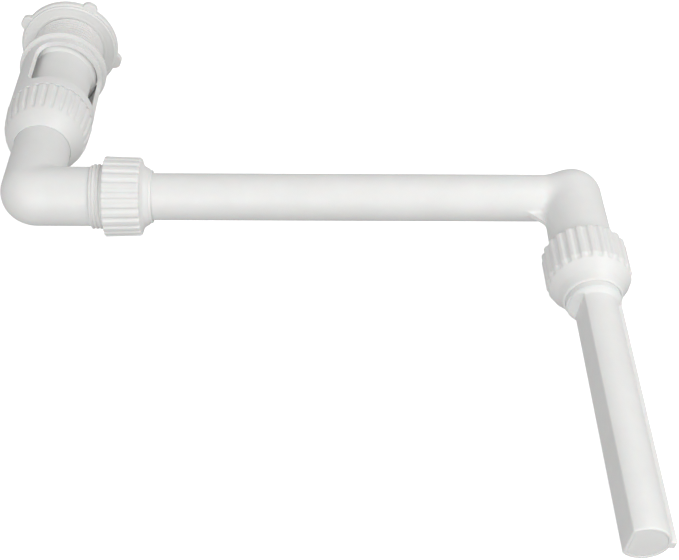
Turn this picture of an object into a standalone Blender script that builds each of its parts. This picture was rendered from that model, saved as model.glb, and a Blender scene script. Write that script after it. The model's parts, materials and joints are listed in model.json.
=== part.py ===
"""Pool waterfall spout: a wall inlet, an elbow, a cross tube and a half-round nozzle bar.

Each pipe run is modelled along the local +Z of an empty that sits on the run's axis:
inlet_run points to the pool wall (world +Y), arm_run along the cross tube (world +X) and
spout_run along the nozzle bar (world -Y, drooping a little). Lengths are in metres.
"""

from math import acos, atan2, cos, pi, radians, sin, sqrt

import bmesh
import bpy
from mathutils import Vector

MM = 0.001

# Driving dimensions
TUBE_R = 16.0 * MM              # 32 mm pipe
TUBE_BORE_R = 13.8 * MM
ARM_SPAN = 369.0 * MM           # inlet axis to spout axis
SPOUT_REACH = 278.0 * MM        # tube axis to the spout's end
SPOUT_DROOP = radians(6.6)      # how far the spout hangs below the inlet's direction
SPOUT_BAR_R = 14.2 * MM
INLET_REACH = 217.0 * MM        # tube axis to the inlet's mouth
FIT = 0.4 * MM                  # gap between pieces that touch or slide
SEGMENTS = 32
HIDDEN_SEGMENTS = 24

# Elbow bodies
ELBOW_R = 20.2 * MM
ELBOW_BEND_R = 6.0 * MM
ELBOW_BORE_R = 15.0 * MM

# Union nuts
INLET_NUT_R = 31.2 * MM
INLET_NUT_RIBS = 27
INLET_NUT_VALLEY = radians(-87.7)
UNION_NUT_R = 27.3 * MM
ARM_NUT_RIBS = 25
ARM_NUT_VALLEY = radians(-133.6)
SPOUT_NUT_RIBS = 24
SPOUT_NUT_VALLEY = radians(84.0)
RIB_DEPTH = 1.0 * MM

# Inlet neck, cage and lock ring
NECK_R = 23.0 * MM
NECK_BORE_R = 19.3 * MM
NECK_THREAD_R = 27.0 * MM
NECK_THREAD_START = 160.0 * MM
NECK_FOOT = 73.8 * MM
NECK_FOOT_THREAD_R = 24.9 * MM
NECK_FOOT_PITCH = 4.35 * MM
CAGE_R = 31.0 * MM
CAGE_BORE_R = 27.5 * MM
CAGE_LEG_ANGLES = (radians(-141.0), radians(39.0))
CAGE_LEG_WIDTH = radians(40.0)
WINDOW_LOW = 108.0 * MM
WINDOW_HIGH = 160.3 * MM
WINDOW_CORNER_R = 10.0 * MM
LOCK_RING_R = 38.2 * MM
LOCK_RING_FRONT = 208.0 * MM
LOCK_RING_BACK = 214.0 * MM
LUG_TIP_R = 42.3 * MM
LUG_ANGLES = (radians(-146.5), radians(-60.0), radians(20.5), radians(118.0))
LUG_HALF_WIDTH = radians(6.4)

# Spout
SPIGOT_R = 17.3 * MM
SPIGOT_INNER_END = 50.0 * MM
SPIGOT_OUTER_END = 100.4 * MM
BAR_FLAT_OFFSET = 9.7 * MM      # flat's distance from the spout's axis
BAR_FLAT_ANGLE = radians(173.5)
BAR_WALL = 2.2 * MM
SHOULDER_LENGTH = 3.6 * MM
NOZZLE_ANGLE = radians(-5.0)
NOZZLE_TIP = 17.1 * MM
NOZZLE_WIDTH = 4.8 * MM
SLIT_WIDTH = 1.6 * MM

# The frame: origin at the middle of the bounding box's foot
HALF_WIDTH = (LOCK_RING_R + ARM_SPAN + UNION_NUT_R) / 2
INLET_X = LOCK_RING_R - HALF_WIDTH
SPOUT_X = HALF_WIDTH - UNION_NUT_R
SPOUT_END_Y = -SPOUT_REACH * cos(SPOUT_DROOP) - SPOUT_BAR_R * sin(SPOUT_DROOP)
ARM_Y = -(INLET_REACH + SPOUT_END_Y) / 2
ARM_Z = SPOUT_REACH * sin(SPOUT_DROOP) + SPOUT_BAR_R * cos(SPOUT_DROOP)


def clear_scene():
    for thing in list(bpy.data.objects):
        bpy.data.objects.remove(thing, do_unlink=True)


def material(name, colour, roughness):
    """A plain Principled plastic or rubber; nothing here is metal."""
    made = bpy.data.materials.new(name)
    made.use_nodes = True
    shader = made.node_tree.nodes["Principled BSDF"]
    shader.inputs["Base Color"].default_value = (*colour, 1.0)
    shader.inputs["Roughness"].default_value = roughness
    shader.inputs["Metallic"].default_value = 0.0
    return made


def add_empty(name, location, rotation):
    empty = bpy.data.objects.new(name, None)
    empty.location = location
    empty.rotation_euler = rotation
    bpy.context.scene.collection.objects.link(empty)
    return empty


def add_object(name, mesh, parent, surface, sharp=35.0):
    """Link a bmesh as an object under its run's empty."""
    bmesh.ops.remove_doubles(mesh, verts=mesh.verts, dist=0.00001)
    bmesh.ops.recalc_face_normals(mesh, faces=mesh.faces)
    if mesh.calc_volume(signed=True) < 0:
        bmesh.ops.reverse_faces(mesh, faces=mesh.faces)
    data = bpy.data.meshes.new(name)
    mesh.to_mesh(data)
    mesh.free()
    data.shade_smooth()
    data.set_sharp_from_angle(angle=radians(sharp))
    data.materials.append(surface)
    made = bpy.data.objects.new(name, data)
    made.parent = parent
    bpy.context.scene.collection.objects.link(made)
    return made


def even_angles(count):
    return [2 * pi * i / count for i in range(count)]


def turn(outline, angles=None, swell=None):
    """Turn a closed outline of (station, radius[, swell weight]) about +Z.

    swell(angle) gives a change of radius, scaled by each point's weight, for ribs and lugs.
    """
    angles = angles or even_angles(SEGMENTS)
    mesh = bmesh.new()
    rings = []
    for point in outline:
        station, radius = point[0], point[1]
        weight = point[2] if len(point) > 2 else 0.0
        ring = []
        for angle in angles:
            r = radius + (weight * swell(angle) if swell else 0.0)
            ring.append(mesh.verts.new((r * cos(angle), r * sin(angle), station)))
        rings.append(ring)
    count = len(angles)
    for i, ring in enumerate(rings):
        following = rings[(i + 1) % len(rings)]
        for j in range(count):
            k = (j + 1) % count
            mesh.faces.new((ring[j], ring[k], following[k], following[j]))
    return mesh


def solid_turn(outline, segments=SEGMENTS):
    """Turn an open outline whose first and last points lie on the axis."""
    mesh = bmesh.new()
    poles = [mesh.verts.new((0, 0, outline[i][0])) for i in (0, -1)]
    rings = []
    for station, radius in outline[1:-1]:
        rings.append([mesh.verts.new((radius * cos(a), radius * sin(a), station))
                      for a in even_angles(segments)])
    for j in range(segments):
        k = (j + 1) % segments
        mesh.faces.new((poles[0], rings[0][k], rings[0][j]))
        mesh.faces.new((poles[1], rings[-1][j], rings[-1][k]))
        for low, high in zip(rings, rings[1:]):
            mesh.faces.new((low[j], low[k], high[k], high[j]))
    return mesh


def bridge(mesh, first, second):
    count = len(first)
    for j in range(count):
        k = (j + 1) % count
        mesh.faces.new((first[j], first[k], second[k], second[j]))


def loft(sections):
    """Skin a solid through closed polygons, each given as (station, points)."""
    mesh = bmesh.new()
    rings = [[mesh.verts.new((x, y, station)) for x, y in points] for station, points in sections]
    mesh.faces.new(reversed(rings[0]))
    mesh.faces.new(rings[-1])
    for near, far in zip(rings, rings[1:]):
        bridge(mesh, near, far)
    return mesh


def prism(points, low, high):
    """Extrude a closed polygon of (x, y) points from station low to high."""
    return loft([(low, points), (high, points)])


def thread(start, end, crest, root, pitch):
    """Outline points of a run of pointed ridges between two stations."""
    count = int((end - start) / pitch)
    pitch = (end - start) / count
    points = [(start, root)]
    for i in range(count):
        points.append((start + (i + 0.5) * pitch, crest))
        points.append((start + (i + 1) * pitch, root))
    return points


def turn_ribbed(outline, ribs, valley):
    """Turn a nut's outline with narrow valleys cut between broad ribs.

    A point's swell weight is the share of RIB_DEPTH that it loses in a valley.
    """
    angles = [valley + angle for angle in even_angles(3 * ribs)]
    return turn(outline, angles, lambda a: -RIB_DEPTH * abs(cos((a - valley) * ribs / 2)) ** 5)


def lug_swell(angle):
    """1 across each lug of the lock ring, falling to 0 over its sloping flanks."""
    away = min(abs(atan2(sin(angle - lug), cos(angle - lug))) for lug in LUG_ANGLES)
    return max(0.0, min(1.0, (LUG_HALF_WIDTH + radians(2.0) - away) / radians(2.0)))


def lug_angles():
    """Even steps round the lock ring, with extra ones at each lug's corners."""
    angles = [a for a in even_angles(SEGMENTS) if lug_swell(a) == 0.0]
    for lug in LUG_ANGLES:
        for part in (-1.31, -1.0, -0.5, 0.5, 1.0, 1.31):
            angles.append((lug + part * LUG_HALF_WIDTH) % (2 * pi))
    return sorted(angles)


def ring(name, run, surface, low, high, inner, outer):
    """A plain washer or flat seal."""
    outline = [(low, inner), (low, outer), (high, outer), (high, inner)]
    return add_object(name, turn(outline, even_angles(HIDDEN_SEGMENTS)), run, surface)


def cone_seal(name, run, surface, low, high, inner, outer, bevel):
    """A seal whose leading outer edge is a cone, so that a socket's mouth squeezes it inward."""
    outline = [(low, inner), (low, outer - bevel), (low + bevel, outer), (high, outer),
               (high, inner)]
    return add_object(name, turn(outline, even_angles(HIDDEN_SEGMENTS)), run, surface)


def split_ring(name, run, surface, low, high, inner, outer, gap):
    """A retaining ring that is cut open so that it springs into its groove."""
    mesh = bmesh.new()
    sweep = 2 * pi - gap
    steps = [gap / 2 + sweep * i / HIDDEN_SEGMENTS for i in range(HIDDEN_SEGMENTS + 1)]
    corners = [(low, inner), (low, outer), (high, outer), (high, inner)]
    columns = [[mesh.verts.new((r * cos(a), r * sin(a), z)) for z, r in corners] for a in steps]
    mesh.faces.new(reversed(columns[0]))
    mesh.faces.new(columns[-1])
    for near, far in zip(columns, columns[1:]):
        for i in range(4):
            j = (i + 1) % 4
            mesh.faces.new((near[i], near[j], far[j], far[i]))
    return add_object(name, mesh, run, surface)


def cutter(name, mesh, run):
    """A helper shape for a Boolean, left out of the model."""
    made = add_object(name, mesh, run, bpy.data.materials["white_plastic"])
    made.hide_render = True
    made.display_type = "WIRE"
    return made


def combine(target, helper, operation):
    """Add an EXACT Boolean of target with helper."""
    modifier = target.modifiers.new(helper.name, "BOOLEAN")
    modifier.object = helper
    modifier.operation = operation
    modifier.solver = "EXACT"


# Inlet: neck, lock ring, gasket, cage and nut

def build_inlet_neck(run, surface):
    """The threaded pipe through the pool wall; its foot carries the inlet nut's thread."""
    outline = [(NECK_FOOT, NECK_BORE_R)]
    foot_end = NECK_FOOT + 3 * NECK_FOOT_PITCH
    outline += thread(NECK_FOOT, foot_end, NECK_FOOT_THREAD_R, NECK_R + 0.6 * MM, 4.3 * MM)
    outline += [(foot_end + 0.6 * MM, NECK_R), (NECK_THREAD_START, NECK_R),
                (NECK_THREAD_START + 2 * MM, NECK_THREAD_R - 0.3 * MM),
                (168.5 * MM, NECK_THREAD_R - 0.3 * MM)]
    outline += thread(169 * MM, INLET_REACH - 1.5 * MM, NECK_THREAD_R,
                      NECK_THREAD_R - 1.5 * MM, 3.6 * MM)
    outline += [(INLET_REACH, NECK_THREAD_R - 2.0 * MM), (INLET_REACH, NECK_BORE_R)]
    return add_object("inlet_neck", turn(outline), run, surface, sharp=20.0)


def build_lock_ring(run, surface):
    """The hand ring with four lugs that clamps the pool wall."""
    chamfer = 0.9 * MM
    hub = 31.0 * MM
    outline = [(LOCK_RING_FRONT, NECK_THREAD_R + FIT),
               (LOCK_RING_FRONT, LOCK_RING_R - chamfer, 1.0),
               (LOCK_RING_FRONT + chamfer, LOCK_RING_R, 1.0),
               (LOCK_RING_BACK - chamfer, LOCK_RING_R, 1.0),
               (LOCK_RING_BACK, LOCK_RING_R - chamfer, 1.0),
               (LOCK_RING_BACK, hub),
               (LOCK_RING_BACK, NECK_THREAD_R + FIT)]
    swell = lambda angle: (LUG_TIP_R - LOCK_RING_R) * lug_swell(angle)
    return add_object("lock_ring", turn(outline, lug_angles(), swell), run, surface)


def window_edge(angle):
    """How far the window's rounded corner rises at an angle, and None across a leg."""
    away = min(abs(atan2(sin(angle - leg), cos(angle - leg))) for leg in CAGE_LEG_ANGLES)
    inside = (away - CAGE_LEG_WIDTH / 2) * CAGE_R
    if inside < -0.01 * MM:
        return None
    short = max(0.0, WINDOW_CORNER_R - max(0.0, inside))
    return WINDOW_CORNER_R - sqrt(WINDOW_CORNER_R ** 2 - short ** 2)


def cage_angles():
    """Column angles: three across each leg, arcs at the windows' corners, even between."""
    corner = WINDOW_CORNER_R / CAGE_R
    angles = []
    for leg in CAGE_LEG_ANGLES:
        edge = leg + CAGE_LEG_WIDTH / 2
        far = leg + pi - CAGE_LEG_WIDTH / 2
        angles += [leg + CAGE_LEG_WIDTH * part for part in (-0.25, 0.0, 0.25)]
        turns = [corner * (1 - cos(pi / 2 * i / 4)) for i in range(5)]
        angles += [edge + step for step in turns]
        span = far - edge - 2 * corner
        angles += [edge + corner + span * i / 10 for i in range(1, 10)]
        angles += [far - step for step in reversed(turns)]
    return angles


def build_clamp_cage(run, surface):
    """The windowed sleeve between the inlet nut and the pool wall, with a pressing lip."""
    rows = [(88.0 * MM, 28.4 * MM, 25.6 * MM), (98.8 * MM, 28.4 * MM, 25.6 * MM),
            (98.9 * MM, CAGE_R, 25.7 * MM), "low", "high",
            (165.4 * MM, CAGE_R, CAGE_BORE_R), (166.0 * MM, 30.0 * MM, CAGE_BORE_R),
            (168.7 * MM, 30.0 * MM, CAGE_BORE_R), (169.2 * MM, 33.7 * MM, CAGE_BORE_R),
            (171.3 * MM, 33.7 * MM, CAGE_BORE_R)]
    angles = cage_angles()
    mesh = bmesh.new()
    outer, inner = [], []
    for row in rows:
        for angle in angles:
            if row in ("low", "high"):
                rise = window_edge(angle)
                rise = WINDOW_CORNER_R if rise is None else rise
                z = WINDOW_LOW + rise if row == "low" else WINDOW_HIGH - rise
                out_r, in_r = CAGE_R, CAGE_BORE_R
            else:
                z, out_r, in_r = row
            outer.append(mesh.verts.new((out_r * cos(angle), out_r * sin(angle), z)))
            inner.append(mesh.verts.new((in_r * cos(angle), in_r * sin(angle), z)))
    count = len(angles)
    walls = {}
    for i in range(len(rows) - 1):
        for j in range(count):
            k = (j + 1) % count
            middle = (angles[j] + (angles[k] - angles[j]) % (2 * pi) / 2)
            if rows[i] == "low" and window_edge(middle) is not None:
                continue
            quad = (i * count + j, i * count + k, (i + 1) * count + k, (i + 1) * count + j)
            mesh.faces.new([outer[v] for v in quad])
            mesh.faces.new([inner[v] for v in reversed(quad)])
            for a, b in zip(quad, quad[1:] + quad[:1]):
                key = (min(a, b), max(a, b))
                walls[key] = None if key in walls else (a, b)
    for wall in walls.values():
        if wall:
            a, b = wall
            mesh.faces.new((outer[b], outer[a], inner[a], inner[b]))
    return add_object("clamp_cage", mesh, run, surface)


def build_inlet_nut(run, surface):
    """The large ribbed nut: it pushes the cage and holds the elbow's retaining ring."""
    foot = 57.6 * MM
    hole = ELBOW_R + 0.5 * MM
    top = 98.4 * MM
    outline = [(foot, hole), (foot + 0.4 * MM, hole + 0.4 * MM), (61.0 * MM, 22.9 * MM),
               (65.0 * MM, 25.3 * MM), (69.0 * MM, 27.3 * MM), (74.0 * MM, 29.2 * MM, 0.3),
               (80.0 * MM, 30.5 * MM, 0.9), (top - 1.2 * MM, INLET_NUT_R + 0.2 * MM, 1.0),
               (top, INLET_NUT_R - 0.5 * MM, 0.8), (top, 28.8 * MM), (86.8 * MM, 28.8 * MM),
               (86.8 * MM, 25.4 * MM), (73.2 * MM, 25.4 * MM), (73.2 * MM, 24.6 * MM),
               (67.6 * MM, 24.6 * MM), (67.6 * MM, hole)]
    mesh = turn_ribbed(outline, INLET_NUT_RIBS, INLET_NUT_VALLEY)
    return add_object("inlet_nut", mesh, run, surface)


# Elbow with a nearly square outer corner

def bend_point(angle, radius, swing, bend_r=ELBOW_BEND_R):
    """A point of the elbow's skin in local axes: Z to the inlet, X to the cross tube.

    The centre line turns on a small radius, so its inner side closes to a crease.
    """
    reach = bend_r + radius * cos(angle)
    if reach > 0:
        x = bend_r - reach * cos(swing)
        z = bend_r - reach * sin(swing)
    else:
        x = z = bend_r - reach
    return Vector((x, radius * sin(angle), z))


def elbow_skin(mesh, inlet_side, arm_side, radius, bend_steps):
    """Rings from the inlet end, round the bend, to the arm end; returns the ring list."""
    angles = even_angles(SEGMENTS)
    rings = []
    for station, r in inlet_side:
        rings.append([Vector((-r * cos(a), r * sin(a), station)) for a in angles])
    for i in range(bend_steps + 1):
        swing = pi / 2 * i / bend_steps
        rings.append([bend_point(a, radius, swing) for a in angles])
    for station, r in arm_side:
        rings.append([Vector((station, r * sin(a), -r * cos(a))) for a in angles])
    return [[mesh.verts.new(point) for point in points] for points in rings]


def build_inlet_elbow(run, surface):
    """The square elbow: a spigot in the neck, and a threaded socket for the cross tube."""
    seat = ELBOW_R + 2 * MM
    inlet_side = [(94.0 * MM, 17.8 * MM), (93.0 * MM, 18.8 * MM), (82.6 * MM, 18.8 * MM),
                  (82.6 * MM, 17.0 * MM), (79.4 * MM, 17.0 * MM), (79.4 * MM, 18.8 * MM),
                  (71.8 * MM, 18.8 * MM), (71.8 * MM, 18.0 * MM), (67.8 * MM, 18.0 * MM),
                  (67.8 * MM, ELBOW_R), (seat, ELBOW_R)]
    arm_side = [(seat, ELBOW_R), (41.5 * MM, ELBOW_R)]
    arm_side += thread(42.6 * MM, 66.0 * MM, 22.1 * MM, 20.9 * MM, 2.8 * MM)
    mesh = bmesh.new()
    outside = elbow_skin(mesh, inlet_side, arm_side, ELBOW_R, 6)
    bore = ELBOW_BORE_R
    bore_in = [(94.0 * MM, bore), (seat, bore)]
    bore_arm = [(seat, bore), (50.0 * MM, bore), (50.0 * MM, TUBE_R + FIT),
                (66.0 * MM, TUBE_R + FIT)]
    inside = elbow_skin(mesh, bore_in, bore_arm, bore, 3)
    for skin in (outside, inside):
        for first, second in zip(skin, skin[1:]):
            bridge(mesh, first, second)
    bridge(mesh, inside[0], outside[0])
    bridge(mesh, outside[-1], inside[-1])
    collapse_flat_faces(mesh)
    return add_object("inlet_elbow", mesh, run, surface)


def collapse_flat_faces(mesh):
    """Join the points that meet along the elbow's inner crease."""
    bmesh.ops.remove_doubles(mesh, verts=mesh.verts, dist=0.00001)
    bmesh.ops.dissolve_degenerate(mesh, edges=mesh.edges, dist=0.000001)


# Cross tube and its end elbow

def build_arm_tube(arm, spout, surface):
    """The long pipe, moulded in one with a domed elbow, its threaded end and a gusset."""
    start = 50.6 * MM
    tube = solid_turn([(start, 0), (start, TUBE_R), (ARM_SPAN, TUBE_R), (ARM_SPAN, 0)])
    made = add_object("arm_tube", tube, arm, surface)
    top = [(-ELBOW_R * cos(pi / 2 * i / 7), ELBOW_R * sin(pi / 2 * i / 7)) for i in range(8)]
    body = top + [(57.0 * MM, ELBOW_R)]
    body += thread(57.6 * MM, 77.6 * MM, 22.4 * MM, 21.2 * MM, 4.0 * MM)
    body += [(77.6 * MM, 0)]
    combine(made, cutter("elbow_shell", solid_turn(body), spout), "UNION")
    web = prism([(-36 * MM, 13 * MM), (-18 * MM, 13 * MM), (-18 * MM, 31 * MM)],
                -1.5 * MM, 1.5 * MM)
    web_shape = cutter("gusset", web, spout)
    web_shape.rotation_euler = (radians(90), 0, 0)
    combine(made, web_shape, "UNION")
    bore = solid_turn([(start - MM, 0), (start - MM, TUBE_BORE_R), (ARM_SPAN, TUBE_BORE_R),
                       (ARM_SPAN, 0)], 28)
    combine(made, cutter("tube_bore", bore, arm), "DIFFERENCE")
    r = 14.5 * MM
    socket = [(-r * cos(pi / 2 * i / 5), r * sin(pi / 2 * i / 5)) for i in range(6)]
    socket += [(49.4 * MM, r), (49.4 * MM, SPIGOT_R + FIT), (79 * MM, SPIGOT_R + FIT),
               (79 * MM, 0)]
    combine(made, cutter("spout_socket", solid_turn(socket, 30), spout), "DIFFERENCE")
    return made


def build_arm_nut(run, surface):
    """The ribbed nut on the elbow's side thread, drawn in to the tube by a hollow neck."""
    left, right, lip = 52.3 * MM, 77.0 * MM, 84.4 * MM
    hole = TUBE_R + 0.5 * MM
    wide, slim = 25.4 * MM, 18.4 * MM
    hollow = [(right + (lip - 1.6 * MM - right) * (1 - cos(pi / 2 * i / 4)),
               wide - (wide - slim) * sin(pi / 2 * i / 4)) for i in range(5)]
    outline = [(left, 22.6 * MM), (left, UNION_NUT_R - 0.9 * MM, 0.9),
               (left + 1.0 * MM, UNION_NUT_R, 1.0), (right - 1.6 * MM, UNION_NUT_R - 0.7 * MM, 1.0),
               (right - 0.4 * MM, UNION_NUT_R - 1.2 * MM, 0.3)]
    outline += hollow
    outline += [(lip, slim - 0.5 * MM), (lip, hole), (75.3 * MM, hole), (75.3 * MM, 22.6 * MM)]
    mesh = turn_ribbed(outline, ARM_NUT_RIBS, ARM_NUT_VALLEY)
    return add_object("arm_nut", mesh, run, surface)


# Spout

def build_spout_nut(run, surface):
    """The ribbed nut with a domed shoulder that joins the nozzle bar to the elbow."""
    top, foot = 54.8 * MM, 96.4 * MM
    hole = SPIGOT_R + 0.5 * MM
    bore, seat = 23.0 * MM, 21.8 * MM
    outline = [(top, bore), (top, UNION_NUT_R - 1.0 * MM, 0.9),
               (top + 1.2 * MM, UNION_NUT_R, 1.0), (79.6 * MM, UNION_NUT_R - 0.1 * MM, 0.9),
               (83.0 * MM, 25.8 * MM), (86.0 * MM, 23.6 * MM), (90.0 * MM, 20.9 * MM),
               (93.0 * MM, 19.7 * MM), (foot - 0.6 * MM, 18.8 * MM), (foot, hole + 0.4 * MM),
               (foot, hole), (84.7 * MM, hole), (84.7 * MM, seat), (79.4 * MM, seat),
               (79.0 * MM, bore)]
    mesh = turn_ribbed(outline, SPOUT_NUT_RIBS, SPOUT_NUT_VALLEY)
    return add_object("spout_nut", mesh, run, surface)


def bar_section(radius, flat_offset, arc_steps=22):
    """A circle cut by the bar's flat, as a closed polygon."""
    half = acos(flat_offset / radius)
    start = BAR_FLAT_ANGLE + half
    sweep = 2 * pi - 2 * half
    return [(radius * cos(start + sweep * i / arc_steps),
             radius * sin(start + sweep * i / arc_steps)) for i in range(arc_steps + 1)]


def shoulder_sections():
    """Bar sections: a full round in the spigot, a short steep shoulder, then the half-round."""
    collar = (SPIGOT_R - 0.5 * MM, SPIGOT_R - 1.5 * MM)
    middle = (SPOUT_BAR_R + 0.8 * MM, BAR_FLAT_OFFSET)
    plain = (SPOUT_BAR_R, BAR_FLAT_OFFSET)
    steps = [(96 * MM, collar), (SPIGOT_OUTER_END + 0.2 * MM, collar),
             (SPIGOT_OUTER_END + SHOULDER_LENGTH * 0.6, middle),
             (SPIGOT_OUTER_END + SHOULDER_LENGTH, plain), (SPOUT_REACH, plain)]
    return [(station, bar_section(*size)) for station, size in steps]


def nozzle_strip(near, far, width):
    """A rectangle across the nozzle's direction, from one distance to another."""
    along = Vector((cos(NOZZLE_ANGLE), sin(NOZZLE_ANGLE)))
    side = Vector((-along.y, along.x)) * width / 2
    corners = [along * near - side, along * far - side, along * far + side, along * near + side]
    return [tuple(corner) for corner in corners]


def build_spout_body(run, surface):
    """The nozzle bar: round spigot with a flange, half-round hollow bar, slit down one side."""
    r = SPIGOT_R
    spigot = [(SPIGOT_INNER_END, 0), (SPIGOT_INNER_END, r - 0.8 * MM),
              (SPIGOT_INNER_END + 0.8 * MM, r), (80.6 * MM, r), (80.6 * MM, 21.2 * MM),
              (82.6 * MM, 21.2 * MM), (82.6 * MM, r), (SPIGOT_OUTER_END - 0.6 * MM, r),
              (SPIGOT_OUTER_END, r - 0.6 * MM), (SPIGOT_OUTER_END, 0)]
    made = add_object("spout_body", solid_turn(spigot), run, surface)
    combine(made, cutter("bar_shell", loft(shoulder_sections()), run), "UNION")
    lip = prism(nozzle_strip(12.6 * MM, NOZZLE_TIP, NOZZLE_WIDTH), 98 * MM,
                SPOUT_REACH - 0.4 * MM)
    combine(made, cutter("nozzle_lip", lip, run), "UNION")
    bore = solid_turn([(SPIGOT_INNER_END - MM, 0), (SPIGOT_INNER_END - MM, 12.4 * MM),
                       (108 * MM, 12.4 * MM), (110 * MM, 9.0 * MM), (110 * MM, 0)], 32)
    hollow = prism(bar_section(SPOUT_BAR_R - BAR_WALL, BAR_FLAT_OFFSET - BAR_WALL, 20),
                   104 * MM, SPOUT_REACH + MM)
    slit = prism(nozzle_strip(9.0 * MM, 20.0 * MM, SLIT_WIDTH), 112 * MM, SPOUT_REACH - 9 * MM)
    combine(made, cutter("hollow", hollow, run), "DIFFERENCE")
    combine(made, cutter("spigot_bore", bore, run), "DIFFERENCE")
    combine(made, cutter("slit", slit, run), "DIFFERENCE")
    return made


def build_spout_cap(run, surface):
    """The plug that closes the bar's end, set in a little."""
    inset = BAR_WALL + FIT
    section = bar_section(SPOUT_BAR_R - inset, BAR_FLAT_OFFSET - inset, 20)
    mesh = prism(section, SPOUT_REACH - 6.5 * MM, SPOUT_REACH - 0.5 * MM)
    return add_object("spout_end_cap", mesh, run, surface)


def main():
    clear_scene()
    white = material("white_plastic", (0.86, 0.86, 0.84), 0.42)
    inner_white = material("inner_plastic", (0.80, 0.80, 0.78), 0.5)
    soft_white = material("soft_white", (0.82, 0.82, 0.80), 0.65)
    rubber = material("seal_rubber", (0.06, 0.06, 0.06), 0.75)
    inlet = add_empty("inlet_run", (INLET_X, ARM_Y, ARM_Z), (radians(-90), 0, 0))
    arm = add_empty("arm_run", (INLET_X, ARM_Y, ARM_Z), (0, radians(90), 0))
    spout = add_empty("spout_run", (SPOUT_X, ARM_Y, ARM_Z), (radians(90) + SPOUT_DROOP, 0, 0))

    build_inlet_neck(inlet, white)
    build_lock_ring(inlet, white)
    ring("wall_gasket", inlet, soft_white, 205.6 * MM, LOCK_RING_FRONT - FIT,
         NECK_THREAD_R + 2 * FIT, 36.8 * MM)
    build_clamp_cage(inlet, white)
    build_inlet_nut(inlet, white)
    ring("neck_face_seal", inlet, rubber, 72.0 * MM, 73.4 * MM, 19.3 * MM, 24.0 * MM)
    split_ring("elbow_retaining_ring", inlet, inner_white, 68.2 * MM, 71.4 * MM,
               18.4 * MM, 24.0 * MM, radians(14))
    o_ring = [(81.0 * MM + 1.0 * MM * sin(a), 18.3 * MM + 0.75 * MM * cos(a))
              for a in even_angles(6)]
    add_object("elbow_o_ring", turn(o_ring, even_angles(HIDDEN_SEGMENTS)), inlet, rubber)

    build_inlet_elbow(inlet, white)

    build_arm_nut(arm, white)
    cone_seal("arm_cone_seal", arm, rubber, 66.5 * MM, 69.8 * MM, TUBE_R + FIT, 21.6 * MM,
              1.2 * MM)
    split_ring("arm_grip_ring", arm, inner_white, 70.3 * MM, 72.6 * MM,
               TUBE_R + FIT, 21.8 * MM, radians(14))
    ring("arm_slip_washer", arm, inner_white, 73.1 * MM, 74.9 * MM, TUBE_R + FIT, 22.1 * MM)
    build_arm_tube(arm, spout, white)

    build_spout_nut(spout, white)
    cone_seal("spout_cone_seal", spout, rubber, 78.0 * MM, 80.2 * MM, SPIGOT_R + FIT,
              21.4 * MM, 0.8 * MM)
    ring("spout_slip_washer", spout, inner_white, 83.0 * MM, 84.3 * MM,
         SPIGOT_R + FIT, 21.4 * MM)
    build_spout_body(spout, white)
    build_spout_cap(spout, white)


main()
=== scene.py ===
"""Looks for the pool waterfall spout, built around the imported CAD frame.

Each pipe run has its own local axes with +Z along the run, and sizes inside a run are in
millimetres. place() turns them into the frame's metres.
"""

import json
from math import asin, cos, pi, radians, sin, sqrt

import bmesh
import bpy
import numpy as np
from mathutils import Euler, Matrix, Vector


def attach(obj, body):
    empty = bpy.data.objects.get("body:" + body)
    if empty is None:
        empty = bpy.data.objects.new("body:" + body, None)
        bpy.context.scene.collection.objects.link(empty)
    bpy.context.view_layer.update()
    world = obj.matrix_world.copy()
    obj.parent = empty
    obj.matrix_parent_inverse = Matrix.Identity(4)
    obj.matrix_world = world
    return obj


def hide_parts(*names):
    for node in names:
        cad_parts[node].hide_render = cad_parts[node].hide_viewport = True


MM = 0.001
FULL = 2 * pi

# Sizes shared by several pieces, in millimetres
TUBE_R = 16.0
CORNER_REACH = 46.0             # how far along the tube the end elbow's blended skin goes
ARM_SPAN = 369.0
ELBOW_R = 20.2
ELBOW_BORE_R = 15.0
ELBOW_BEND_R = 6.0
INNER_FILLET = 4.5
NECK_BORE_R = 19.3
NECK_R = 23.0
NECK_THREAD_R = 27.0
NECK_PITCH = 3.6
INLET_REACH = 217.0
INLET_NUT_R = 31.3
INLET_NUT_RIBS = 27
UNION_NUT_R = 27.25
ARM_NUT_RIBS = 25
ARM_NUT_VALLEY = radians(-133.6)
SPOUT_NUT_RIBS = 24
SPOUT_NUT_VALLEY = radians(84)
INLET_NUT_VALLEY = radians(-87.7)
LOCK_RING_R = 38.2
LUG_TIP_R = 42.3
LUG_HALF = 5.9                  # half of a lug's width at its foot
LUG_SHOULDER = 3.4              # how much of that half is rounded off
LUG_ANGLES = [radians(a) for a in (-146.5, -60, 20.5, 118)]
CAGE_R = 31.0
CAGE_BORE_R = 27.5
CAGE_LEGS = [radians(-141), radians(39)]
CAGE_LEG_WIDTH = radians(40)
WINDOW_LOW = 108.0
WINDOW_HIGH = 160.3
WINDOW_CORNER_R = 10.0
SPOUT_REACH = 278.0
BAR_R = 14.2
BAR_FLAT = 9.7
BAR_FLAT_ANGLE = radians(173.5)
SHOULDER_RISE = 2.7
SHOULDER_LENGTH = 3.4
NOZZLE_ANGLE = radians(-6.5)
NOZZLE_TIP = 17.0
NOZZLE_HALF = 2.7
SLIT_LOW = 112.0
SLIT_HIGH = 269.0
SLIT_HALF = 0.75
SLIT_FLOOR = 12.6
SPIGOT_R = 17.3
SPIGOT_END = 100.4


# Numbers

def ease(x):
    """Smooth step from 0 to 1."""
    x = np.clip(x, 0.0, 1.0)
    return x * x * (3 - 2 * x)


def span(value, low, high, soft):
    """1 between low and high, easing to 0 over the distance soft inside each end."""
    return ease((value - low) / soft) * ease((high - value) / soft)


def away(angle, target):
    """Unsigned difference of two angles."""
    return np.abs((angle - target + pi) % FULL - pi)


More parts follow.
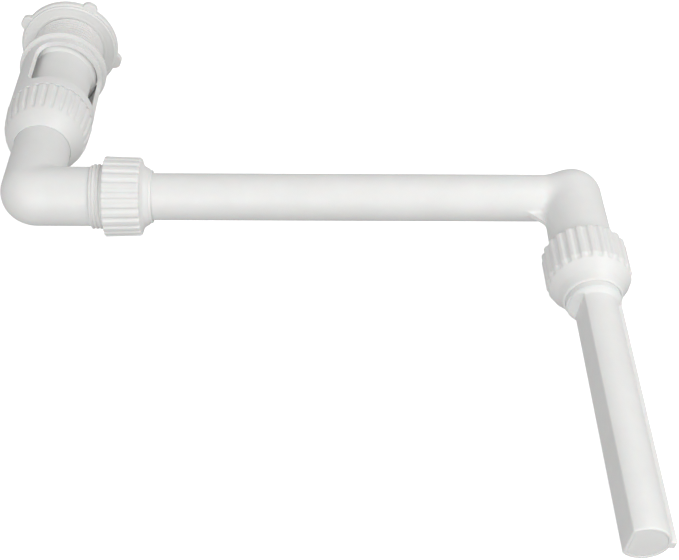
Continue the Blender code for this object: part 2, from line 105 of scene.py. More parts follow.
def soft_min(a, b, k):
    """The lesser of two distances, blended over the width k."""
    h = np.maximum(k - np.abs(a - b), 0.0) / k
    return np.minimum(a, b) - h * h * k / 4


# Outlines

def arc_corner(before, corner, after, fillet, steps):
    """Points of a fillet at a polygon's corner."""
    b = np.array(before) - corner
    a = np.array(after) - corner
    lb, la = np.hypot(*b), np.hypot(*a)
    b, a = b / lb, a / la
    half = np.arccos(np.clip(b @ a, -1, 1)) / 2
    if abs(half - pi / 2) < 0.02 or half < 0.02:
        return [tuple(corner)]
    reach = min(fillet / np.tan(half), 0.48 * lb, 0.48 * la)
    radius = reach * np.tan(half)
    middle = corner + (a + b) / np.hypot(*(a + b)) * radius / np.sin(half)
    start = corner + b * reach - middle
    finish = corner + a * reach - middle
    sweep = np.arctan2(start[0] * finish[1] - start[1] * finish[0], start @ finish)
    points = []
    for i in range(steps + 1):
        t = sweep * i / steps
        points.append((middle[0] + start[0] * cos(t) - start[1] * sin(t),
                       middle[1] + start[0] * sin(t) + start[1] * cos(t)))
    return points


def soften(points, steps=4):
    """Round a closed outline of (station, radius, fillet)."""
    out = []
    for i, (station, radius, fillet) in enumerate(points):
        before = points[i - 1][:2]
        after = points[(i + 1) % len(points)][:2]
        corner = np.array((station, radius), float)
        if fillet:
            out += arc_corner(before, corner, after, fillet, steps)
        else:
            out.append((station, radius))
    return out


def refine(outline, low, high, floor, step):
    """Split an outline's outer stretch between two stations into steps, for threads or ribs."""
    out = []
    for i, (s0, r0) in enumerate(outline):
        s1, r1 = outline[(i + 1) % len(outline)]
        out.append((s0, r0))
        inside = min(s0, s1) < high and max(s0, s1) > low and min(r0, r1) > floor
        count = int(np.hypot(s1 - s0, r1 - r0) / step) if inside else 0
        for j in range(1, count):
            out.append((s0 + (s1 - s0) * j / count, r0 + (r1 - r0) * j / count))
    return out


# Meshes: each builder returns (points as an (n, 3) array, faces as a list)

def turn(outline, count, shape=None, phase=0.0):
    """Turn a closed outline about +Z; shape(station, radius, angle) returns new radii."""
    outline = np.array(outline, float)
    s, r = outline[:, 0:1], outline[:, 1:2]
    angle = (phase + np.arange(count) * FULL / count)[None, :]
    radius = np.repeat(r, count, 1) if shape is None else shape(s + 0 * angle, r + 0 * angle, angle)
    points = np.stack([radius * np.cos(angle), radius * np.sin(angle), s + 0 * angle], -1)
    rows = len(outline)
    i, j = np.meshgrid(np.arange(rows), np.arange(count), indexing="ij")
    k, m = (i + 1) % rows, (j + 1) % count
    faces = np.stack([i * count + j, i * count + m, k * count + m, k * count + j], -1)
    return points.reshape(-1, 3), faces.reshape(-1, 4).tolist()


def merge(*parts):
    """Join several (points, faces) into one."""
    points, faces, base = [], [], 0
    for part_points, part_faces in parts:
        points.append(part_points)
        faces += [[v + base for v in face] for face in part_faces]
        base += len(part_points)
    return np.concatenate(points), faces


def place(name, part, run, surface, body, nodes, sharp=40.0):
    """Make an object from run-local millimetres, in the frame's metres, standing for nodes."""
    points, faces = part
    world = np.array(run)
    points = points * MM @ world[:3, :3].T + world[:3, 3]
    data = bpy.data.meshes.new(name)
    data.from_pydata(points.tolist(), [], faces)
    mesh = bmesh.new()
    mesh.from_mesh(data)
    bmesh.ops.remove_doubles(mesh, verts=mesh.verts, dist=0.000002)
    bmesh.ops.dissolve_degenerate(mesh, edges=mesh.edges, dist=0.000001)
    bmesh.ops.recalc_face_normals(mesh, faces=mesh.faces)
    mesh.to_mesh(data)
    mesh.free()
    data.shade_smooth()
    data.set_sharp_from_angle(angle=radians(sharp))
    data.materials.append(surface)
    made = bpy.data.objects.new(name, data)
    bpy.context.scene.collection.objects.link(made)
    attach(made, body)
    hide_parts(*nodes)
    return made


def screw(low, high, pitch, root, crest, run_in):
    """Shape of an outside right-hand thread between two stations."""
    def shape(s, r, angle):
        phase = (s - low) / pitch - angle / FULL
        ridge = 1.0 - np.cos(pi * phase) ** 4
        outer = r > root - 0.4
        height = (crest - root) * ridge * span(s, low, high, run_in)
        return np.where(outer & (s > low) & (s < high), root + height, r)
    return shape


# Inlet

def neck_mesh():
    """Pipe with a fine thread at its foot and a coarse one through the pool wall."""
    top = INLET_REACH
    points = [(73.8, NECK_BORE_R, 0.4), (73.8, 23.6, 0.5), (86.9, 23.6, 0.3), (87.5, NECK_R, 0.3),
              (160.0, NECK_R, 0.8), (162.0, 26.7, 0.6), (167.5, 26.7, 0.4), (168.0, 25.5, 0.2),
              (top, 25.5, 1.2), (top, NECK_BORE_R + 0.2, 0.9)]
    outline = refine(soften(points), 73.0, 87.4, 23.3, 0.45)
    outline = refine(outline, 167.6, top, 25.2, 0.45)
    foot = screw(74.2, 86.8, 4.35, 23.6, 24.9, 2.0)
    wall = screw(167.8, top - 0.6, NECK_PITCH, 25.5, NECK_THREAD_R, 2.2)
    return turn(outline, 200, lambda s, r, a: wall(s, foot(s, r, a), a))


def lug_height(angle):
    """How far the lock ring's rounded lugs reach past its rim at an angle."""
    offset = np.min([away(angle, lug) for lug in LUG_ANGLES], axis=0) * LOCK_RING_R
    tab = np.sqrt(np.clip((LUG_HALF - offset) / LUG_SHOULDER, 0.0, 1.0))
    return (LUG_TIP_R - LOCK_RING_R) * tab


def ring_mesh():
    """Thin disc with rolled edges, four lugs and a low step round the bore."""
    points = [(208.0, 27.5, 0.3), (208.0, LOCK_RING_R, 1.1), (214.0, LOCK_RING_R, 1.4),
              (214.0, 32.5, 0.5), (213.0, 31.6, 0.5), (213.0, 28.2, 0.3), (213.4, 27.5, 0.2)]
    outline = soften(points, 5)

    def shape(s, r, angle):
        rim = ease((r - 35.4) / 1.6)
        return r + lug_height(angle) * rim
    return turn(outline, 480, shape)


def gasket_mesh():
    """Flat soft ring with a raised bead at each edge."""
    points = [(205.9, 26.6, 0.3), (205.6, 28.6, 0.4), (205.9, 29.8, 0.4), (205.9, 34.6, 0.4),
              (205.6, 35.6, 0.4), (205.9, 36.8, 0.6), (207.8, 36.8, 0.4), (207.8, 26.6, 0.3)]
    return turn(soften(points), 192)


def window_rise(angle):
    """Height lost to the window's rounded corner at an angle, or None across a leg."""
    off = min(float(away(angle, leg)) for leg in CAGE_LEGS)
    inside = (off - CAGE_LEG_WIDTH / 2) * CAGE_R
    if inside < -0.01:
        return None
    short = max(0.0, WINDOW_CORNER_R - max(0.0, inside))
    return WINDOW_CORNER_R - sqrt(max(0.0, WINDOW_CORNER_R ** 2 - short ** 2))


def cage_columns():
    """Angles of the cage's columns, dense at the windows' corners."""
    corner = WINDOW_CORNER_R / CAGE_R
    columns = []
    for leg in CAGE_LEGS:
        start = leg - CAGE_LEG_WIDTH / 2
        columns += [start + CAGE_LEG_WIDTH * i / 12 for i in range(12)]
        edge = leg + CAGE_LEG_WIDTH / 2
        far = leg + pi - CAGE_LEG_WIDTH / 2
        turns = [corner * (1 - cos(pi / 2 * i / 9)) for i in range(10)]
        middle = far - edge - 2 * corner
        columns += [edge + t for t in turns]
        columns += [edge + corner + middle * i / 24 for i in range(1, 24)]
        columns += [far - t for t in reversed(turns[1:])]
    return columns


def cage_mesh():
    """Sleeve with two windows, an undercut and a collar, as one closed skin."""
    rows = [(88.0, 28.3, 25.7), (98.7, 28.3, 25.7), (98.8, CAGE_R, 25.8), (103.5, CAGE_R, 27.0),
            "low", "high", (162.0, CAGE_R, CAGE_BORE_R), (164.8, CAGE_R, CAGE_BORE_R),
            (165.6, 29.6, CAGE_BORE_R), (168.5, 29.6, CAGE_BORE_R), (169.0, 33.7, CAGE_BORE_R),
            (171.3, 33.7, CAGE_BORE_R)]
    columns = cage_columns()
    count = len(columns)
    outer, inner = [], []
    for row in rows:
        for angle in columns:
            if row in ("low", "high"):
                rise = window_rise(angle)
                rise = WINDOW_CORNER_R if rise is None else rise
                z = WINDOW_LOW + rise if row == "low" else WINDOW_HIGH - rise
                out_r, in_r = CAGE_R, CAGE_BORE_R
            else:
                z, out_r, in_r = row
            outer.append((out_r * cos(angle), out_r * sin(angle), z))
            inner.append((in_r * cos(angle), in_r * sin(angle), z))
    shift = len(outer)
    faces, rims = [], {}
    for i in range(len(rows) - 1):
        for j in range(count):
            k = (j + 1) % count
            middle = columns[j] + ((columns[k] - columns[j]) % FULL) / 2
            if rows[i] == "low" and window_rise(middle) is not None:
                continue
            quad = (i * count + j, i * count + k, (i + 1) * count + k, (i + 1) * count + j)
            faces.append(list(quad))
            faces.append([v + shift for v in reversed(quad)])
            for a, b in zip(quad, quad[1:] + quad[:1]):
                key = (min(a, b), max(a, b))
                rims[key] = None if key in rims else (a, b)
    for edge in rims.values():
        if edge:
            a, b = edge
            faces.append([b, a, a + shift, b + shift])
    return np.array(outer + inner), faces


def ribs(count, valley, low, high, depth, floor, soft, width):
    """Shape of grip ribs: valleys cut between broad ribs on the skin outside the radius floor.

    valley is one valley's angle and width a valley's share of the pitch. The valleys run from
    station low to high and fade over the pair of distances soft at those two ends.
    """
    def shape(s, r, angle):
        phase = np.abs(((angle - valley) * count / FULL + 0.5) % 1.0 - 0.5) * 2
        groove = 1 - ease((phase - width * 0.35) / (width * 0.9))
        fade = ease((s - low) / soft[0]) * ease((high - s) / soft[1])
        outer = ease((r - floor) / 0.8)
        return r - depth * groove * fade * outer
    return shape


def inlet_nut_mesh():
    """Large nut: ribs that run out into a smooth dome, and a bright rolled lip."""
    hole = ELBOW_R + 0.12
    points = [(57.8, hole, 0.1), (57.9, 20.8, 0.4), (61.0, 22.8, 6.0), (65.0, 25.2, 10.0),
              (69.0, 27.2, 10.0), (74.0, 29.0, 12.0), (80.0, 30.3, 20.0),
              (97.2, INLET_NUT_R, 0.9), (98.4, INLET_NUT_R - 1.0, 0.6), (98.4, 28.8, 0.3),
              (86.8, 28.8, 0.3), (86.8, 25.4, 0.3), (73.2, 25.4, 0.3), (73.2, 24.6, 0.3),
              (67.6, 24.6, 0.3), (67.6, hole, 0.3)]
    outline = refine(soften(points, 5), 60.0, 98.0, 22.0, 0.9)
    shape = ribs(INLET_NUT_RIBS, INLET_NUT_VALLEY, 70.5, 99.2, 1.2, 25.6, (4.5, 1.6), 0.46)
    return turn(outline, INLET_NUT_RIBS * 18, shape, INLET_NUT_VALLEY)


# Elbow

def bend_skin(radius, inlet_side, arm_side, count, steps, fillet):
    """Tube skin round the nearly square corner, from the inlet end to the arm end."""
    angle = np.arange(count) * FULL / count
    inner = -radius * np.cos(angle)
    gap = ELBOW_BEND_R - inner - fillet
    bend = fillet + 0.5 * (gap + np.sqrt(gap * gap + 4.0))
    centre = bend + inner
    rings = []
    for station, r in inlet_side:
        rings.append(np.stack([-r * np.cos(angle), r * np.sin(angle), station + 0 * angle], -1))
    for i in range(steps + 1):
        swing = pi / 2 * i / steps
        rings.append(np.stack([centre - bend * cos(swing), radius * np.sin(angle),
                               centre - bend * sin(swing)], -1))
    for station, r in arm_side:
        rings.append(np.stack([station + 0 * angle, r * np.sin(angle), -r * np.cos(angle)], -1))
    return rings


def elbow_mesh():
    """Elbow skin inside and out; the thread is turned as a second closed sleeve in elbow_thread_mesh.
    """
    count = 128
    outer = bend_skin(ELBOW_R, [(67.7, 18.0), (67.7, ELBOW_R - 0.3), (67.4, ELBOW_R),
                                (34.0, ELBOW_R), (30.0, ELBOW_R)],
                      [(30.0, ELBOW_R), (34.0, ELBOW_R), (41.6, ELBOW_R)], count, 26,
                      INNER_FILLET)
    bore = bend_skin(ELBOW_BORE_R, [(67.7, ELBOW_BORE_R), (30.0, ELBOW_BORE_R)],
                     [(30.0, ELBOW_BORE_R), (41.6, ELBOW_BORE_R)], count, 12, 2.0)
    rings = outer + bore[::-1]
    points = np.concatenate(rings)
    faces = []
    for i in range(len(rings)):
        k = (i + 1) % len(rings)
        for j in range(count):
            m = (j + 1) % count
            faces.append([i * count + j, i * count + m, k * count + m, k * count + j])
    return points, faces


def elbow_thread_mesh():
    """The socket's threaded end, about the arm's axis."""
    points = [(41.2, ELBOW_BORE_R, 0.2), (41.2, ELBOW_R - 0.02, 0.0), (42.2, ELBOW_R - 0.02, 0.3),
              (42.7, 20.9, 0.3), (66.0, 20.9, 0.6), (66.0, TUBE_R + 0.4, 0.4),
              (50.0, TUBE_R + 0.4, 0.2), (50.0, ELBOW_BORE_R, 0.2)]
    outline = refine(soften(points), 42.6, 66.0, 20.5, 0.35)
    return turn(outline, 180, screw(42.7, 65.4, 2.8, 20.9, 22.1, 0.9))


def elbow_spigot_mesh():
    """The spigot inside the neck, with the O-ring's and the retaining ring's grooves."""
    points = [(67.0, ELBOW_BORE_R, 0.2), (67.0, 18.0, 0.1), (71.8, 18.0, 0.1), (71.8, 18.8, 0.2),
              (79.4, 18.8, 0.2), (79.4, 17.0, 0.2), (82.6, 17.0, 0.2), (82.6, 18.8, 0.2),
              (93.0, 18.8, 0.5), (94.0, 17.8, 0.3), (94.0, ELBOW_BORE_R, 0.3)]
    return turn(soften(points), 96)


def arm_nut_mesh():
    """Ribbed nut with a hollow neck and a small rolled lip."""
    hole = TUBE_R + 0.12
    points = [(52.3, 22.25, 0.3), (52.3, 26.9, 0.2), (52.7, UNION_NUT_R, 0.3),
              (76.2, UNION_NUT_R - 0.7, 0.7), (77.0, 25.8, 0.5), (77.6, 23.2, 1.6),
              (79.0, 20.9, 3.0), (82.2, 19.0, 2.0), (82.8, 18.2, 0.4), (84.4, 18.0, 0.5),
              (84.4, hole, 0.3), (75.3, hole, 0.3), (75.3, 22.25, 0.3)]
    outline = refine(soften(points, 5), 52.0, 77.4, 25.8, 0.9)
    shape = ribs(ARM_NUT_RIBS, ARM_NUT_VALLEY, 50.0, 78.0, 1.05, 24.6, (1.2, 1.2), 0.5)
    return turn(outline, ARM_NUT_RIBS * 18, shape, ARM_NUT_VALLEY)


# Cross tube with its end elbow

def corner_distance(p):
    """Signed distance to the end elbow's outer skin, in the spout run's axes."""
    x, y, z = p[:, 0], p[:, 1], p[:, 2]
    tube = np.maximum(np.hypot(y, z) - TUBE_R, x)
    taper = 20.0 + 0.4 * ease(z / 50.0)
    shell = np.sqrt(x * x + y * y + np.minimum(z, 0.0) ** 2) - taper
    web = np.maximum(np.abs(y) - 1.5, (z - x - 47.0) / sqrt(2.0))
    web = np.maximum(web, np.maximum(x, -z))
    return soft_min(soft_min(tube, shell, 5.0), web, 2.2)


def settle(points, distance, rounds=6):
    """Pull points onto the surface where a distance function is zero."""
    for _ in range(rounds):
        value = distance(points)
        slope = np.zeros_like(points)
        for axis in range(3):
            step = np.zeros(3)
            step[axis] = 0.02
            slope[:, axis] = (distance(points + step) - distance(points - step)) / 0.04
        size = np.maximum(np.sum(slope * slope, 1), 0.2)
        points = points - np.clip(value / size, -1.0, 1.0)[:, None] * slope
    return points


def corner_mesh():
    """Blended skin of tube stub, domed elbow and gusset, from a voxel union of the three.

    The voxel skin only gives the points and faces; settle() then pulls them onto the exact shape.
    """
    points, faces = turn([(-60.0, 0.01), (-60.0, TUBE_R), (0.0, TUBE_R), (0.0, 0.01)], 96)
    stub = (points[:, [2, 1, 0]], [face[::-1] for face in faces])
    dome = [(-20.0 * cos(pi / 2 * i / 24), max(0.01, 20.0 * sin(pi / 2 * i / 24)))
            for i in range(25)]
    shell = turn(dome + [(56.0, 20.4), (56.0, 0.01)], 96)
    gusset = [(-36.5, 12.0), (-10.0, 12.0), (-10.0, 39.0)]
    web = (np.array([(x, side, z) for side in (-1.5, 1.5) for x, z in gusset]),
           [[0, 1, 2], [5, 4, 3], [0, 3, 4, 1], [1, 4, 5, 2], [2, 5, 3, 0]])
    points, faces = merge(stub, shell, web)
    data = bpy.data.meshes.new("corner")
    data.from_pydata(points.tolist(), [], faces)
    source = bpy.data.objects.new("corner", data)
    bpy.context.scene.collection.objects.link(source)
    remesh = source.modifiers.new("remesh", "REMESH")
    remesh.mode = "VOXEL"
    remesh.voxel_size = 0.7
    view = bpy.context.evaluated_depsgraph_get()
    made = source.evaluated_get(view).to_mesh()
    grid = np.array([v.co for v in made.vertices])
    faces = [list(face.vertices) for face in made.polygons]
    source.evaluated_get(view).to_mesh_clear()
    bpy.data.objects.remove(source)
    grid = settle(grid, corner_distance)
    start = -CORNER_REACH
    keep = (grid[:, 0] > start - 1.4) & (grid[:, 2] < 55.2)
    faces = [face for face in faces if all(keep[v] for v in face)]
    grid[:, 0] = np.maximum(grid[:, 0], start)
    grid[:, 2] = np.minimum(grid[:, 2], 55.0)
    used = np.unique(np.concatenate([np.array(face) for face in faces]))
    index = -np.ones(len(grid), int)
    index[used] = np.arange(len(used))
    return grid[used], [[int(index[v]) for v in face] for face in faces]


def tube_mesh():
    """The straight pipe up to where the end elbow's skin starts, about the arm's axis."""
    end = ARM_SPAN - CORNER_REACH
    points = [(50.6, 13.8, 0.5), (50.6, TUBE_R, 0.8), (end, TUBE_R, 0.0), (end, 13.8, 0.0)]
    return turn(refine(soften(points), 51.0, end, 15.8, 8.0), 128)


def spout_socket_mesh():
    """The end elbow's threaded mouth, about the spout's axis."""
    points = [(50.0, SPIGOT_R + 0.4, 0.0), (50.0, 20.3, 0.0), (56.8, 20.3, 0.2), (57.4, 21.2, 0.3),
              (77.6, 21.2, 0.6), (77.6, SPIGOT_R + 0.4, 0.4)]
    outline = refine(soften(points), 57.4, 77.6, 20.8, 0.4)
    return turn(outline, 160, screw(57.5, 77.2, 4.0, 21.2, 22.4, 1.2))


# Spout

def spout_nut_mesh():
    """Ribbed nut whose dome steps down to a narrow round mouth."""
    hole = SPIGOT_R + 0.12
    points = [(54.8, 23.0, 0.3), (54.8, 26.3, 0.7), (56.0, UNION_NUT_R, 0.8),
              (79.6, 27.2, 1.5), (83.0, 25.8, 6.0), (86.0, 23.6, 8.0), (90.0, 20.8, 8.0),
              (93.0, 19.6, 3.0), (95.4, 18.8, 0.8), (96.3, 17.9, 0.4), (96.3, hole, 0.1),
              (84.7, hole, 0.3), (84.7, 21.8, 0.3), (79.4, 21.8, 0.3), (79.0, 23.0, 0.3)]
    outline = refine(soften(points, 5), 54.0, 86.0, 23.4, 0.9)
    shape = ribs(SPOUT_NUT_RIBS, SPOUT_NUT_VALLEY, 53.6, 84.0, 1.1, 24.2, (1.2, 3.4), 0.6)
    return turn(outline, SPOUT_NUT_RIBS * 18, shape, SPOUT_NUT_VALLEY)


def spigot_mesh():
    """The spout's round end inside the nut, with its flange and flat end disc."""
    points = [(50.0, 12.4, 0.4), (50.0, SPIGOT_R, 0.8), (80.6, SPIGOT_R, 0.2), (80.6, 21.2, 0.3),
              (82.6, 21.2, 0.3), (82.6, SPIGOT_R, 0.2), (SPIGOT_END, SPIGOT_R, 0.5),
              (SPIGOT_END, 7.0, 0.0), (98.0, 7.0, 0.0), (90.0, 12.4, 0.4)]
    return turn(soften(points, 5), 128)


def bar_angles():
    """Section angles, dense at the flat's corners and on the nozzle ledge's flanks."""
    angles = list(np.linspace(0, FULL, 96, endpoint=False))
    for radius in (BAR_R, BAR_R + SHOULDER_RISE):
        half = float(np.arccos(BAR_FLAT / radius))
        for centre in (BAR_FLAT_ANGLE - half, BAR_FLAT_ANGLE + half):
            angles += list(centre + np.linspace(-0.1, 0.1, 13))
    angles += list(NOZZLE_ANGLE + np.linspace(-0.2, 0.2, 81))
    angles = np.sort(np.array(angles) % FULL)
    return angles[np.concatenate([[True], np.diff(angles) > 0.002])]


def bar_radius(angle, inset, swell, ledge, slit=False):
    """Section radius of the bar: half-round, or nearly round at swell 1, shrunk by inset."""
    filled = 2.4 * SHOULDER_RISE * max(0.0, 1.5 * swell - 0.5)
    flat = (BAR_FLAT + filled - inset) / np.maximum(np.cos(angle - BAR_FLAT_ANGLE), 0.05)
    base = soft_min(flat, BAR_R + SHOULDER_RISE * swell - inset + 0 * angle, 0.7)
    if not ledge:
        return base
    off = away(angle, NOZZLE_ANGLE)
    face = (NOZZLE_TIP - inset) / np.maximum(np.cos(off), 0.05)
    flank = (NOZZLE_HALF - 0.6 * inset) / np.maximum(np.sin(off), 0.002)
    reach = np.where(off < pi / 2, soft_min(face, flank, 0.8), 0.0)
    radius = -soft_min(-base, -reach, 1.8)
    return np.where(off < SLIT_HALF / NOZZLE_TIP, SLIT_FLOOR, radius) if slit else radius


def ring_of(angle, radius, station):
    return np.stack([radius * np.cos(angle), radius * np.sin(angle), station + 0 * angle], -1)


def bar_mesh():
    """Half-round bar: shoulder at the spigot, nozzle ledge, rolled rim and recess for the cap."""
    angle = bar_angles()
    rings = [(99.4, 0.0, 1.0, True)]
    for share in np.linspace(0.0, 1.0, 13):
        rings.append((SPIGOT_END + SHOULDER_LENGTH * share, 0.0, float(1 - ease(share)), True))
    end = SPOUT_REACH
    rings += [(SLIT_LOW, 0.0, 0.0, True)]
    rings += [(q, 0.0, 0.0, True, True) for q in np.linspace(SLIT_LOW + 0.1, SLIT_HIGH - 0.1, 28)]
    rings += [(SLIT_HIGH, 0.0, 0.0, True), (end - 1.0, 0.0, 0.0, True), (end - 0.55, 0.12, 0.0, True),
              (end - 0.2, 0.4, 0.0, True), (end, 0.9, 0.0, True), (end, 1.6, 0.0, False),
              (end - 0.1, 1.85, 0.0, False), (end - 0.35, 1.98, 0.0, False),
              (end - 6.0, 2.0, 0.0, False), (SPIGOT_END, 2.2, 0.0, False)]
    points, count = [], len(angle)
    for ring in rings:
        points.append(ring_of(angle, bar_radius(angle, *ring[1:]), ring[0]))
    faces = []
    for i in range(len(rings)):
        k = (i + 1) % len(rings)
        for j in range(count):
            m = (j + 1) % count
            faces.append([i * count + j, i * count + m, k * count + m, k * count + j])
    return np.concatenate(points), faces


def cap_mesh():
    """The plug in the bar's end, with a soft edge and a very slight crown."""
    angle = bar_angles()
    count = len(angle)
    top = SPOUT_REACH - 0.3
    points = []
    for q, inset in [(top - 5.0, 2.1), (top - 0.25, 2.05), (top - 0.06, 2.12), (top, 2.35)]:
        points.append(ring_of(angle, bar_radius(angle, inset, 0.0, False), q))
    for share in (0.75, 0.5, 0.25):
        radius = bar_radius(angle, 2.35, 0.0, False) * share
        points.append(ring_of(angle, radius, top + 0.12 * (1 - share)))
    faces = []
    for i in range(len(points) - 1):
        for j in range(count):
            m = (j + 1) % count
            faces.append([i * count + j, i * count + m, (i + 1) * count + m, (i + 1) * count + j])
    faces.append(list(range(count)))
    faces.append([(len(points) - 1) * count + j for j in range(count)])
    return np.concatenate(points), faces


# Materials

def link(tree, source, out, target, into):
    tree.links.new(source.outputs[out], target.inputs[into])


def plastic(name, dark, light, rough, bump, subsurface):
    """Moulded plastic or rubber: cloudy colour, uneven gloss, faint waviness and fine grain."""
    made = bpy.data.materials.new(name)
    made.use_nodes = True
    made["slot"] = name
    tree = made.node_tree
    shader = tree.nodes["Principled BSDF"]
    shader.inputs["Metallic"].default_value = 0.0
    shader.inputs["IOR"].default_value = 1.5
    shader.inputs["Subsurface Weight"].default_value = subsurface
    shader.inputs["Subsurface Scale"].default_value = 0.002
    place_at = tree.nodes.new("ShaderNodeTexCoord")
    cloud = tree.nodes.new("ShaderNodeTexNoise")
    cloud.inputs["Scale"].default_value = 28.0
    cloud.inputs["Detail"].default_value = 5.0
    cloud.inputs["Roughness"].default_value = 0.6
    link(tree, place_at, "Object", cloud, "Vector")
    colour = tree.nodes.new("ShaderNodeValToRGB")
    colour.color_ramp.elements[0].position = 0.3
    colour.color_ramp.elements[0].color = (*dark, 1.0)
    colour.color_ramp.elements[1].position = 0.72
    colour.color_ramp.elements[1].color = (*light, 1.0)
    link(tree, cloud, "Fac", colour, "Fac")
    link(tree, colour, "Color", shader, "Base Color")
    patch = tree.nodes.new("ShaderNodeTexNoise")
    patch.inputs["Scale"].default_value = 95.0
    patch.inputs["Detail"].default_value = 4.0
    link(tree, place_at, "Object", patch, "Vector")
    gloss = tree.nodes.new("ShaderNodeMapRange")
    gloss.inputs["To Min"].default_value = rough - 0.07
    gloss.inputs["To Max"].default_value = rough + 0.08
    link(tree, patch, "Fac", gloss, "Value")
    link(tree, gloss, "Result", shader, "Roughness")
    grain = tree.nodes.new("ShaderNodeTexNoise")
    grain.inputs["Scale"].default_value = 1500.0
    grain.inputs["Detail"].default_value = 2.0
    link(tree, place_at, "Object", grain, "Vector")
    swell = tree.nodes.new("ShaderNodeTexNoise")
    swell.inputs["Scale"].default_value = 130.0
    swell.inputs["Detail"].default_value = 2.0
    link(tree, place_at, "Object", swell, "Vector")
    fine = tree.nodes.new("ShaderNodeBump")
    fine.inputs["Strength"].default_value = bump
    fine.inputs["Distance"].default_value = 0.00006
    link(tree, grain, "Fac", fine, "Height")
    broad = tree.nodes.new("ShaderNodeBump")
    broad.inputs["Strength"].default_value = bump
    broad.inputs["Distance"].default_value = 0.00025
    link(tree, swell, "Fac", broad, "Height")
    link(tree, fine, "Normal", broad, "Normal")
    link(tree, broad, "Normal", shader, "Normal")
    return made


# Stage

def area_light(name, location, target, size, power, colour):
    data = bpy.data.lights.new(name, "AREA")
    data.shape = "RECTANGLE"
    data.size, data.size_y = size
    data.energy = power
    data.color = colour
    made = bpy.data.objects.new(name, data)
    made.location = location
    direction = Vector(target) - Vector(location)
    made.rotation_euler = direction.to_track_quat("-Z", "Y").to_euler()
    bpy.context.scene.collection.objects.link(made)


def build_floor():
    mesh = bmesh.new()
    bmesh.ops.create_grid(mesh, x_segments=8, y_segments=8, size=6.0)
    data = bpy.data.meshes.new("floor")
    mesh.to_mesh(data)
    mesh.free()
    floor = bpy.data.objects.new("floor", data)
    bpy.context.scene.collection.objects.link(floor)
    made = bpy.data.materials.new("floor_white")
    made.use_nodes = True
    shader = made.node_tree.nodes["Principled BSDF"]
    shader.inputs["Base Color"].default_value = (0.93, 0.93, 0.93, 1.0)
    shader.inputs["Roughness"].default_value = 0.9
    shader.inputs["Emission Color"].default_value = (1.0, 1.0, 1.0, 1.0)
    shader.inputs["Emission Strength"].default_value = 0.6
    data.materials.append(made)
    floor.visible_diffuse = False
    floor.visible_glossy = False


def build_light():
    """A pale dome, darker underneath, with a large soft light from the right and a weak fill."""
    world = bpy.data.worlds.new("studio")
    world.use_nodes = True
    tree = world.node_tree
    back = tree.nodes["Background"]
    back.inputs["Strength"].default_value = 1.0
    where = tree.nodes.new("ShaderNodeTexCoord")
    split = tree.nodes.new("ShaderNodeSeparateXYZ")
    link(tree, where, "Generated", split, "Vector")
    dome = tree.nodes.new("ShaderNodeValToRGB")
    height = tree.nodes.new("ShaderNodeMapRange")
    height.inputs["From Min"].default_value = -1.0
    height.inputs["From Max"].default_value = 1.0
    link(tree, split, "Z", height, "Value")
    link(tree, height, "Result", dome, "Fac")
    dome.color_ramp.elements[0].color = (0.41, 0.41, 0.41, 1.0)
    dome.color_ramp.elements[1].color = (0.40, 0.40, 0.40, 1.0)
    middle = dome.color_ramp.elements.new(0.5)
    middle.color = (0.565, 0.565, 0.565, 1.0)
    link(tree, dome, "Color", back, "Color")
    bpy.context.scene.world = world
    area_light("key", (1.0, -0.45, 1.35), (0.0, 0.0, 0.0), (1.1, 1.1), 13.2, (1.0, 1.0, 0.995))
    area_light("fill", (-0.4, -1.5, 0.55), (0.0, 0.0, 0.0), (1.4, 1.0), 10.0, (1.0, 1.0, 1.0))


def build_camera(corner):
    """Looks along +Y and 38 degrees down, with a long lens and no yaw."""
    data = bpy.data.cameras.new("camera")
    data.lens = 71.3
    data.sensor_width = 36.0
    data.shift_x = 0.0676
    camera = bpy.data.objects.new("camera", data)
    bpy.context.scene.collection.objects.link(camera)
    camera.location = corner + Vector((0.1802, -0.7520, 0.5251))
    tilt = Matrix.Rotation(radians(90.0 - 38.45), 4, "X")
    roll = Matrix.Rotation(0.004, 4, "Z")
    camera.rotation_euler = (tilt @ roll).to_euler()
    bpy.context.scene.camera = camera


def run_axes():
    """The three pipe runs' local axes, read from the frame's joints, and the inlet's corner."""
    joints = {joint["name"]: joint for joint in frame["joints"]}
    inlet_x = joints["inlet_swivel"]["pos_m"][0]
    tube_y, tube_z = joints["arm_swivel"]["pos_m"][1:]
    spout_x = joints["spout_swivel"]["pos_m"][0]
    droop = asin(-joints["spout_swivel"]["axis"][2])
    corner = Vector((inlet_x, tube_y, tube_z))
    inlet = Matrix.Translation(corner) @ Euler((radians(-90), 0, 0)).to_matrix().to_4x4()
    arm = Matrix.Translation(corner) @ Euler((0, radians(90), 0)).to_matrix().to_4x4()
    spout = (Matrix.Translation((spout_x, tube_y, tube_z))
             @ Euler((radians(90) + droop, 0, 0)).to_matrix().to_4x4())
    return inlet, arm, spout, corner


def turned(part, source, target):
    """Carry a (points, faces) part from one run's axes into another's."""
    change = np.array(target.inverted() @ source)
    return part[0] @ change[:3, :3].T + change[:3, 3] / MM, part[1]


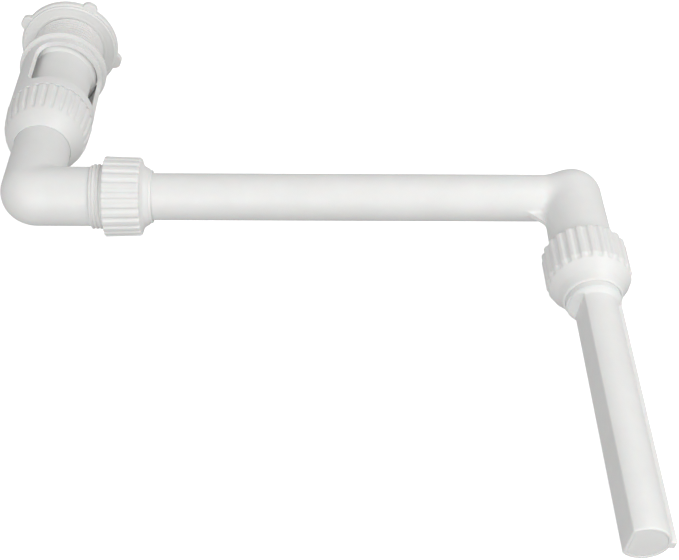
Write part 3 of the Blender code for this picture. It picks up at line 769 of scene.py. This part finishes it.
def build_inlet(inlet, arm, white, soft):
    place("neck", neck_mesh(), inlet, white, "neck", ["inlet_neck"], 30.0)
    place("clamp_ring", ring_mesh(), inlet, white, "ring", ["lock_ring"], 30.0)
    place("gasket_ring", gasket_mesh(), inlet, soft, "gasket", ["wall_gasket"])
    cage = place("cage", cage_mesh(), inlet, white, "cage", ["clamp_cage"], 30.0)
    edges = cage.modifiers.new("edges", "BEVEL")
    edges.width = 0.45 * MM
    edges.segments = 3
    edges.limit_method = "ANGLE"
    edges.angle_limit = radians(40)
    place("wall_side_nut", inlet_nut_mesh(), inlet, white, "wall_nut", ["inlet_nut"])
    thread = turned(elbow_thread_mesh(), arm, inlet)
    elbow = merge(elbow_mesh(), thread, elbow_spigot_mesh())
    place("elbow", elbow, inlet, white, "elbow", ["inlet_elbow"], 35.0)


def build_arm_and_spout(arm, spout, white):
    place("elbow_side_nut", arm_nut_mesh(), arm, white, "elbow_nut", ["arm_nut"])
    tube = turned(tube_mesh(), arm, spout)
    place("cross_tube", merge(corner_mesh(), tube, spout_socket_mesh()), spout, white, "tube",
          ["arm_tube"], 50.0)
    place("nozzle_side_nut", spout_nut_mesh(), spout, white, "nozzle_nut", ["spout_nut"])
    place("nozzle_bar", merge(spigot_mesh(), bar_mesh()), spout, white, "spout", ["spout_body"],
          35.0)
    place("nozzle_cap", cap_mesh(), spout, white, "spout", ["spout_end_cap"], 30.0)


def dress_hidden_parts(inner, rubber):
    """Seals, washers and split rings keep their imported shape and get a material."""
    for name in ("neck_face_seal", "elbow_o_ring", "arm_cone_seal", "spout_cone_seal"):
        frame["nodes"][name].material_slots[0].material = rubber
    for name in ("elbow_retaining_ring", "arm_grip_ring", "arm_slip_washer", "spout_slip_washer"):
        frame["nodes"][name].material_slots[0].material = inner


def main():
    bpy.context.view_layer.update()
    inlet, arm, spout, corner = run_axes()
    white = plastic("white_plastic", (0.80, 0.80, 0.785), (0.85, 0.85, 0.84), 0.42, 0.35, 0.12)
    inner = plastic("inner_plastic", (0.74, 0.74, 0.72), (0.80, 0.80, 0.78), 0.5, 0.4, 0.1)
    soft = plastic("soft_white", (0.82, 0.82, 0.805), (0.87, 0.87, 0.86), 0.6, 0.6, 0.05)
    rubber = plastic("seal_rubber", (0.025, 0.025, 0.025), (0.05, 0.05, 0.05), 0.7, 0.8, 0.0)
    build_inlet(inlet, arm, white, soft)
    build_arm_and_spout(arm, spout, white)
    dress_hidden_parts(inner, rubber)
    build_floor()
    build_light()
    build_camera(corner)
    bpy.context.scene.view_settings.view_transform = "Standard"


with open("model.json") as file:
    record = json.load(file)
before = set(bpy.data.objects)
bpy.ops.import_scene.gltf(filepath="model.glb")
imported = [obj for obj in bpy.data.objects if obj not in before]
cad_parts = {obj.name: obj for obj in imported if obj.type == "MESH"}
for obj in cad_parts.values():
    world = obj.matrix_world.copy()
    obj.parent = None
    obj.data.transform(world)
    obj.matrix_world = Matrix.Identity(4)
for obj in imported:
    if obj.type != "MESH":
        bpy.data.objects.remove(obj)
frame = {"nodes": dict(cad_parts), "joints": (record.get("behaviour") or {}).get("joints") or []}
main()
